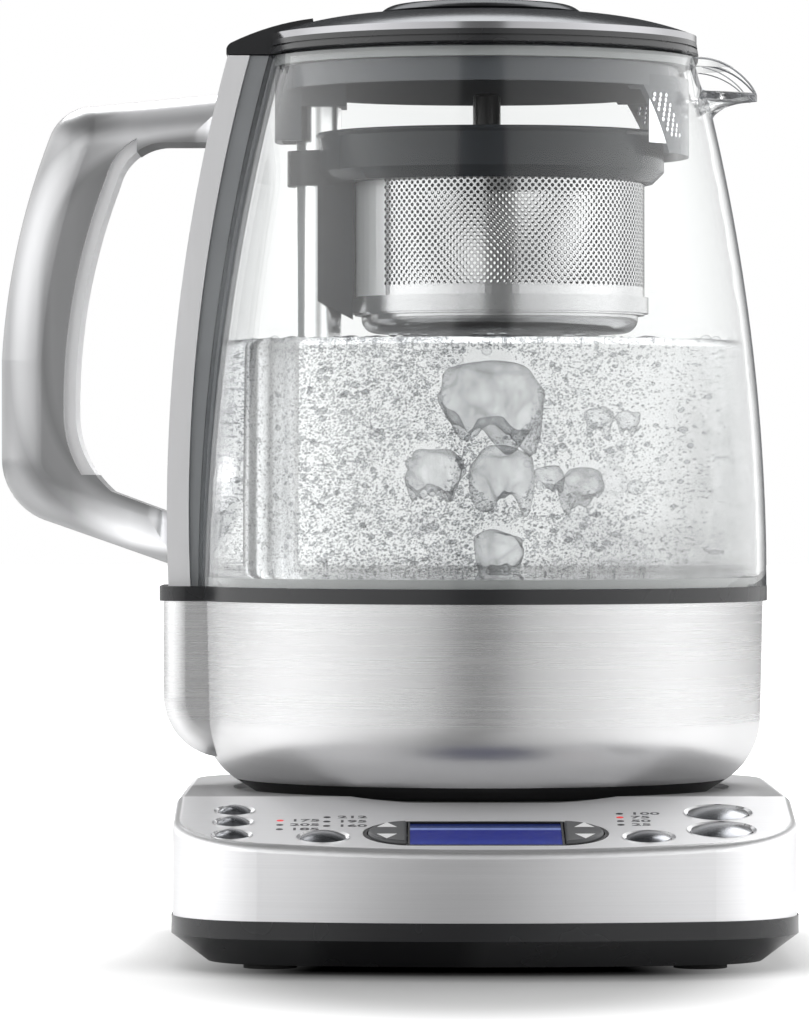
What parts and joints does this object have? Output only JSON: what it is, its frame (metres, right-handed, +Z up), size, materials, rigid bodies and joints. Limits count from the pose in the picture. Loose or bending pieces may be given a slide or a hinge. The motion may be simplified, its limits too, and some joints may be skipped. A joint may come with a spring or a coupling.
{
  "type": "automatic tea maker",
  "caption": "Glass electric tea maker: jug with steel foot, handle and lid, a motor-lifted infuser basket inside, on a powered base with a sloping key panel.",
  "frame": {"origin": "centre of the footprint's bounding box, on the worktop", "axes": "+Z up; -Y is the control panel's side; the spout points to +X and the handle to -X"},
  "size_m": [0.2134, 0.2048, 0.258],
  "materials": {
    "brushed_steel": "brushed stainless steel",
    "satin_metal": "satin metal",
    "polished_steel": "polished steel",
    "charcoal_plastic": "satin charcoal plastic",
    "grey_plastic": "satin mid-grey plastic",
    "smoked_plastic": "gloss dark grey plastic",
    "black_plastic": "gloss black plastic",
    "borosilicate": "clear glass",
    "silicone": "grey silicone",
    "rubber": "matte black rubber",
    "copper": "plated contacts",
    "board": "printed circuit board",
    "blue_display": "lit blue display",
    "lamp": "indicator lamp lens",
    "key_chrome": "dark plated key",
    "magnet": "magnet"
  },
  "bodies": {
    "base": {"base_cover": "brushed_steel", "base_tray": "charcoal_plastic", "rubber_feet": "rubber", "base_screws": "polished_steel", "cord_inlet": "rubber", "connector_hub": "black_plastic", "connector_rings": "copper", "display_frame": "black_plastic", "display_window": "blue_display", "lcd_module": "black_plastic", "key_surrounds": "polished_steel", "indicator_lamps": "lamp", "control_board": "board", "tact_switches": "black_plastic"},
    "jug_connector": {"jug_connector": "black_plastic"},
    "jug": {"jug_glass": "borosilicate", "jug_bowl": "brushed_steel", "jug_band": "charcoal_plastic", "jug_base_cover": "black_plastic", "heater_plate": "brushed_steel", "glass_seal": "silicone", "heating_element": "brushed_steel", "temperature_probe": "brushed_steel", "lift_motor": "charcoal_plastic", "lift_post": "polished_steel", "post_seal": "silicone", "handle_column": "satin_metal", "column_gasket": "grey_plastic", "handle": "satin_metal", "handle_inner_cover": "satin_metal", "handle_screws": "polished_steel"},
    "lift_screw": {"lift_screw": "brushed_steel"},
    "basket": {"basket_ring": "grey_plastic", "basket_magnet": "magnet", "basket_sleeve": "brushed_steel", "basket_hoop": "polished_steel", "basket_floor": "brushed_steel", "basket_lid": "brushed_steel", "basket_lid_post": "black_plastic", "carriage_nut": "grey_plastic", "carriage_magnets": "magnet"},
    "lid": {"lid_rim": "charcoal_plastic", "lid_trim_ring": "polished_steel", "lid_dome": "smoked_plastic", "lid_knob": "black_plastic", "lid_skirt": "grey_plastic", "lid_seal": "silicone", "spout_filter": "grey_plastic"},
    "auto_start_key": {"auto_start_key": "key_chrome"},
    "keep_warm_key": {"keep_warm_key": "key_chrome"},
    "basket_key": {"basket_key": "key_chrome"},
    "tea_type_key": {"tea_type_key": "key_chrome"},
    "tea_strength_key": {"tea_strength_key": "key_chrome"},
    "hot_water_key": {"hot_water_key": "key_chrome"},
    "cancel_key": {"cancel_key": "key_chrome"},
    "temperature_rocker": {"temperature_rocker": "smoked_plastic"},
    "time_rocker": {"time_rocker": "smoked_plastic"}
  },
  "joints": [
    {"name": "jug_lift", "type": "slide", "parent": "base", "child": "jug_connector", "axis": [0, 0, 1], "range_m": [0, 0.12]},
    {"name": "jug_swivel", "type": "hinge", "parent": "jug_connector", "child": "jug", "pos_m": [0.02475, 0.016, 0.05], "axis": [0, 0, 1], "continuous": true},
    {"name": "lid_lift", "type": "slide", "parent": "jug", "child": "lid", "axis": [0, 0, 1], "range_m": [0, 0.1]},
    {"name": "basket_lift", "type": "slide", "parent": "jug", "child": "basket", "axis": [0, 0, 1], "range_m": [-0.055, 0]},
    {"name": "lift_screw_turn", "type": "hinge", "parent": "jug", "child": "lift_screw", "pos_m": [-0.01995, 0.016, 0.1], "axis": [0, 0, 1], "range_deg": [-1660, 0]},
    {"name": "auto_start_key_press", "type": "slide", "parent": "base", "child": "auto_start_key", "axis": [0, 0.1822, -0.9833], "range_m": [0, 0.0012], "stiffness_N_per_m": 300, "springref_m": -0.0008},
    {"name": "keep_warm_key_press", "type": "slide", "parent": "base", "child": "keep_warm_key", "axis": [0, 0.1822, -0.9833], "range_m": [0, 0.0012], "stiffness_N_per_m": 300, "springref_m": -0.0008},
    {"name": "basket_key_press", "type": "slide", "parent": "base", "child": "basket_key", "axis": [0, 0.1822, -0.9833], "range_m": [0, 0.0012], "stiffness_N_per_m": 300, "springref_m": -0.0008},
    {"name": "tea_type_key_press", "type": "slide", "parent": "base", "child": "tea_type_key", "axis": [0, 0.1822, -0.9833], "range_m": [0, 0.0012], "stiffness_N_per_m": 300, "springref_m": -0.0008},
    {"name": "tea_strength_key_press", "type": "slide", "parent": "base", "child": "tea_strength_key", "axis": [0, 0.1822, -0.9833], "range_m": [0, 0.0012], "stiffness_N_per_m": 300, "springref_m": -0.0008},
    {"name": "hot_water_key_press", "type": "slide", "parent": "base", "child": "hot_water_key", "axis": [0, 0.1822, -0.9833], "range_m": [0, 0.0012], "stiffness_N_per_m": 300, "springref_m": -0.0008},
    {"name": "cancel_key_press", "type": "slide", "parent": "base", "child": "cancel_key", "axis": [0, 0.1822, -0.9833], "range_m": [0, 0.0012], "stiffness_N_per_m": 300, "springref_m": -0.0008},
    {"name": "temperature_rocker_tilt", "type": "hinge", "parent": "base", "child": "temperature_rocker", "pos_m": [-0.00045, -0.08232, 0.0339], "axis": [1, 0, 0], "range_deg": [-3, 3], "stiffness_Nm_per_rad": 0.05},
    {"name": "time_rocker_tilt", "type": "hinge", "parent": "base", "child": "time_rocker", "pos_m": [0.04995, -0.08232, 0.0339], "axis": [1, 0, 0], "range_deg": [-3, 3], "stiffness_Nm_per_rad": 0.05}
  ],
  "couplings": [
    {"joint": "lift_screw_turn", "follows": "basket_lift", "rad_per_m": 523.6}
  ]
}
